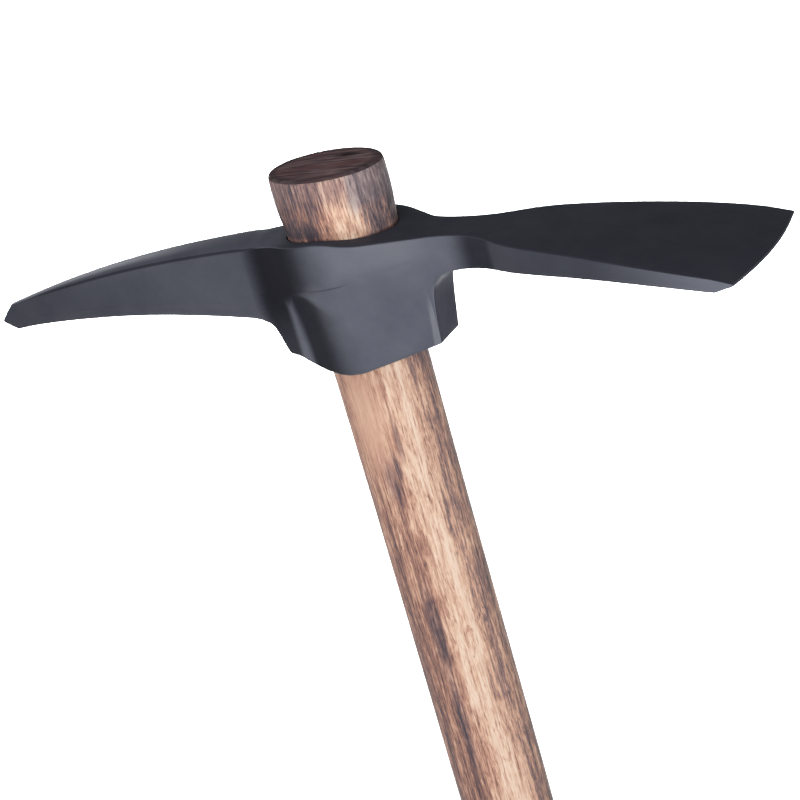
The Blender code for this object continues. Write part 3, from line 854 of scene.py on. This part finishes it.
# A greyer tone on the right round end, partly smoke and partly painted shade.
smoke_and_shade_on_shaft = strongest(tree, mask(tree, (strip, 0.82, 0.92), (burn, 0.30, 0.60)), mask(tree, marks, 0.6),
                        mask(tree, under_cap_edge, 0.7))
smoke_and_shade_on_cap = mask(tree, (cap_strip, 0.76, 0.88), (height, RIM + 8 * MM, RIM + 20 * MM), 0.85)
# Painted shade in the gap at the eye's mouth, and below it a stain that fades downwards.
eye_mouth_shade_and_stain = mask(tree, (height, RIM + 0.2 * MM, RIM - 1.8 * MM),
              (height, RIM - 55 * MM, RIM - 3 * MM, 0.10, 0.85))
colour = paint(tree, wood_tone.outputs["Color"], [
    (strongest(tree, mask(tree, smoke_and_shade_on_shaft, 0.62), smoke_and_shade_on_cap), smoke_tone.outputs["Color"]),
    (eye_mouth_shade_and_stain, "#2c1815")])
tree.links.new(colour, shader.inputs["Base Color"])
relief = add(tree, "ShaderNodeBump", {"Height": pile(tree, grain["lines"], [(checks, -0.3)]),
                                      "Strength": 0.5, "Distance": 0.7 * MM})
tree.links.new(relief.outputs["Normal"], shader.inputs["Normal"])
shader.inputs["Roughness"].default_value = 0.55
shader.inputs["Specular IOR Level"].default_value = 0.3
handle.data.materials.append(ash)
print(ash.name, len(tree.nodes), "nodes")

# %% [markdown]
# ### Charred end grain
#
# The sawn end above the head soaks up the flame and goes nearly black. The rings cross it as dark and
# reddish streaks along the oval's long way, about 2.4 mm apart, and the rim is darker still. The lips and
# inside of the drying crack are painted near black as its shade. Charcoal is matt, so it is rougher than
# the sides and shines less.

# %% Charred end grain
RING_SPACING = 2.4 * MM
RED_PATCHES = 6 * MM
RIM_OVAL = (32.2 * MM, 22.7 * MM)

end_grain, tree, shader = new_material("charred_end_grain")
place = add(tree, "ShaderNodeTexCoord").outputs["Object"]
along_rings = add(tree, "ShaderNodeMapping", {"Vector": place, "Scale": (0.10, 1.0, 1.0)}).outputs["Vector"]
rings = add(tree, "ShaderNodeTexNoise", {"Vector": along_rings, "Scale": 1 / RING_SPACING, "Detail": 3.0,
                                         "Roughness": 0.6, "Distortion": 0.3}).outputs["Fac"]
char_tone = add(tree, "ShaderNodeValToRGB", {"Fac": rings},
                stops=[(0.30, "#33272a"), (0.44, "#5b4648"), (0.56, "#6d5b5c"), (0.70, "#85706a")])
red = add(tree, "ShaderNodeTexNoise", {"Vector": along_rings, "Scale": 1 / RED_PATCHES, "Detail": 2.0})
from_axis = add(tree, "ShaderNodeVectorMath", {0: place, 1: (1 / RIM_OVAL[0], 1 / RIM_OVAL[1], 0.0)},
                operation="MULTIPLY").outputs["Vector"]
out_to_rim = add(tree, "ShaderNodeVectorMath", {0: from_axis}, operation="LENGTH").outputs["Value"]
colour = paint(tree, char_tone.outputs["Color"], [
    (mask(tree, (red.outputs["Fac"], 0.52, 0.62, 0.0, 0.5)), "#6b4543"),
    (mask(tree, (out_to_rim, 0.80, 0.93, 0.0, 0.6)), "#2d292d"),
    # Painted shade: near black round and inside the drying crack.
    (oval_mark(tree, place, (*CRACK, HANDLE_TOP / MM), (9.5, 3.0, 9.0)), "#140f10")])
tree.links.new(colour, shader.inputs["Base Color"])
relief = add(tree, "ShaderNodeBump", {"Height": rings, "Strength": 0.6, "Distance": 0.8 * MM})
tree.links.new(relief.outputs["Normal"], shader.inputs["Normal"])
shader.inputs["Roughness"].default_value = 0.75
shader.inputs["Specular IOR Level"].default_value = 0.2
handle.data.materials.append(end_grain)
print(end_grain.name, len(tree.nodes), "nodes")

# %% Which faces are end grain
LEVEL_ENOUGH = 0.5  # a face whose normal is more upright than this belongs to a sawn end
INSIDE_SWELL = (29 * MM, 19 * MM)  # and so do the walls of the crack, which lie inside this oval

for face in handle.data.polygons:
    middle = face.center
    in_crack = middle.z > HANDLE_TOP - 8 * MM and (middle.x / INSIDE_SWELL[0]) ** 2 + (
        middle.y / INSIDE_SWELL[1]) ** 2 < 1
    if abs(face.normal.z) > LEVEL_ENOUGH or in_crack:
        face.material_index = 1
print("end grain on", sum(f.material_index for f in handle.data.polygons), "faces")

# %% [markdown]
# ## Seat the pieces on the model
#
# Each new piece rides on its body, so the head can slide down the handle, and stands for its measured node.

# %% Ride and replace
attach(head, "head")
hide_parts("head")
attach(handle, "handle")
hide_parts("handle")
print("pieces:", head.name, "and", handle.name)

# %% [markdown]
# ## Floor and light
#
# The floor is white, and glows a little to the camera and in reflections. So the background is white and
# the tool isn't overlit for it.

# %% Floor
FLOOR_HEIGHT = -3 * MM  # just below the butt
GLOW = 0.55

bpy.ops.object.select_all(action="DESELECT")
bpy.ops.mesh.primitive_plane_add(size=60, location=(0, 0, FLOOR_HEIGHT))
floor = bpy.context.object
floor.name = "pale_floor"
paper, tree, shader = new_material("pale_studio_floor")
ray = add(tree, "ShaderNodeLightPath").outputs
shown = strongest(tree, ray["Is Camera Ray"], ray["Is Glossy Ray"], ray["Is Transmission Ray"])
tree.links.new(mask(tree, shown, GLOW), shader.inputs["Emission Strength"])
shader.inputs["Base Color"].default_value = linear("#f2f2f2")
shader.inputs["Roughness"].default_value = 0.9
shader.inputs["Specular IOR Level"].default_value = 0.0
shader.inputs["Emission Color"].default_value = (1, 1, 1, 1)
floor.data.materials.append(paper)
print("floor at", FLOOR_HEIGHT, "m")

# %% [markdown]
# The sky is pale at the horizon and dark above head height, so that the faces that look up stay nearly
# black.

# %% Sky
world = bpy.data.worlds.new("studio")
bpy.context.scene.world = world
world.use_nodes = True
tree = world.node_tree
tree.nodes.clear()
direction = add(tree, "ShaderNodeTexCoord").outputs["Generated"]
elevation = add(tree, "ShaderNodeSeparateXYZ", {"Vector": direction}).outputs["Z"]
sky = add(tree, "ShaderNodeValToRGB", {"Fac": elevation},
          stops=[(0.0, "#f0f0f0"), (0.12, "#c4c4c8"), (0.24, "#85858c"), (0.38, "#3a3a3e"), (1.0, "#2c2c30")])
background = add(tree, "ShaderNodeBackground", {"Color": sky.outputs["Color"], "Strength": 1.0})
add(tree, "ShaderNodeOutputWorld", {"Surface": background.outputs["Background"]})
print("sky:", len(sky.color_ramp.elements), "tones")

# %% [markdown]
# A large soft key lamp stands in front, a weaker one to the left, and a third hangs overhead to open up the
# end grain. A small one low on the right gives the corner of the heel its light line. A narrow lamp behind
# the tool lights only the floor there.

# %% Lamps
LAMPS = [
    # name, place, what it points at, width in metres, power in watts, spread in degrees
    ("key", (0.60, -1.85, 1.30), (0, 0, 0.78), 1.3, 19, 180),
    ("left", (-1.80, -1.00, 1.00), (0, 0, 0.75), 1.4, 9, 180),
    ("right", (0.78, -0.81, 0.40), (0, 0, 0.80), 0.35, 2.4, 180),
    ("overhead", (0.25, -0.60, 2.40), (0, 0, 0.80), 1.2, 12, 180),
    ("backdrop_wash", (-1.1, 2.6, 3.0), (-1.1, 2.6, 0), 1.6, 110, 80),
]

for name, spot, target, width, power, spread in LAMPS:
    bpy.ops.object.light_add(type="AREA", location=spot)
    lamp = bpy.context.object
    lamp.name = name
    lamp.data.shape = "DISK"
    lamp.data.size = width
    lamp.data.energy = power
    lamp.data.spread = math.radians(spread)
    lamp.rotation_euler = (Vector(target) - Vector(spot)).to_track_quat("-Z", "Y").to_euler()
print(len(LAMPS), "lamps")

# %% Finish
bpy.context.scene.view_settings.view_transform = "Standard"
